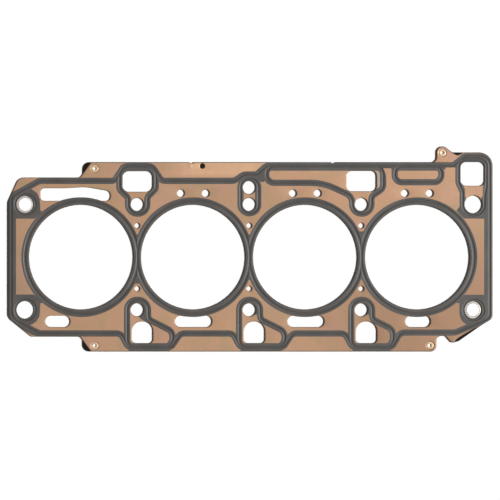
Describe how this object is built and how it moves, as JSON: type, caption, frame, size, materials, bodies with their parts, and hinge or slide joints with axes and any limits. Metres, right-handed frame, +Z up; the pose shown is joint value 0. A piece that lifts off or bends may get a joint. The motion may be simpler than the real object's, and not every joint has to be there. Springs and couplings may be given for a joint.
{
  "type": "cylinder head gasket",
  "caption": "Flat multi-layer steel gasket for an in-line engine, with round cylinder openings, bolt holes, fluid passages, pressed sealing beads and dark printed bands.",
  "frame": {"origin": "centre of the head-bolt grid, on the underside that lies on the engine block", "axes": "+X along the crankshaft, +Y across the engine towards the edge with the ear, +Z up through the cylinder head"},
  "size_m": [0.3895, 0.1649, 0.0016],
  "materials": {
    "coated_spring_steel": "satin bronze-coloured lacquer with dark rubber sealing bands",
    "carrier_steel": "matt black coating",
    "stopper_steel": "rolled stainless strip",
    "rivet_steel": "lacquered tubular rivet"
  },
  "bodies": {
    "root": {"top_layer": "coated_spring_steel", "bottom_layer": "coated_spring_steel", "carrier_layer": "carrier_steel", "stopper_ring_1": "stopper_steel", "stopper_ring_2": "stopper_steel", "stopper_ring_3": "stopper_steel", "stopper_ring_4": "stopper_steel", "rivet_1": "rivet_steel", "rivet_2": "rivet_steel", "rivet_3": "rivet_steel", "rivet_4": "rivet_steel"}
  },
  "joints": []
}
